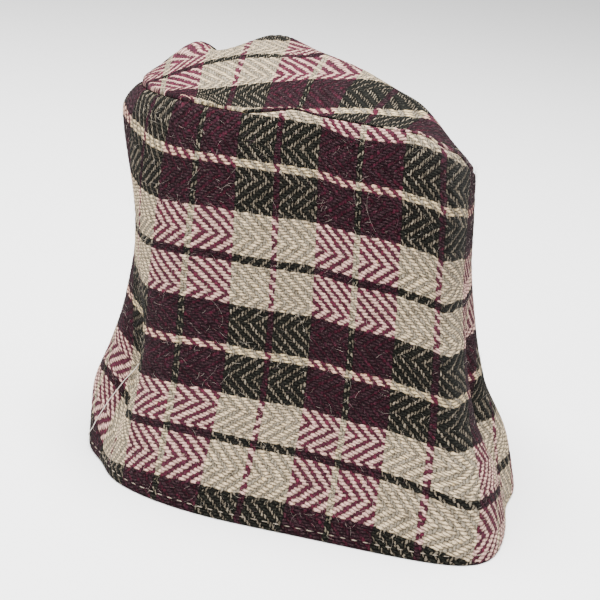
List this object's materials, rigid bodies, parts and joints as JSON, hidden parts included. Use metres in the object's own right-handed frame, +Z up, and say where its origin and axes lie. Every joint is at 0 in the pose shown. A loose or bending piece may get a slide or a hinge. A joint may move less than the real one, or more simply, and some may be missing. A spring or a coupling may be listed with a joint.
{
  "type": "topi cap",
  "caption": "Soft tall bell-shaped cap of coarse check tweed with a puffed crown panel and a turned-up hem, open below.",
  "frame": {"origin": "bottom centre of the cap's bounding box, on the surface that the hem stands on", "axes": "+Z up out of the crown, -Y towards the cap's front face, +X to the right of the front as seen from the front"},
  "size_m": [0.2077, 0.1599, 0.196],
  "materials": {
    "wall_tweed": "coarse 2/2 twill wool, maroon, green-black and cream check",
    "crown_tweed": "coarse 2/2 twill wool, maroon, green-black and cream check"
  },
  "bodies": {
    "root": {"wall": "wall_tweed", "crown": "crown_tweed"}
  },
  "joints": []
}
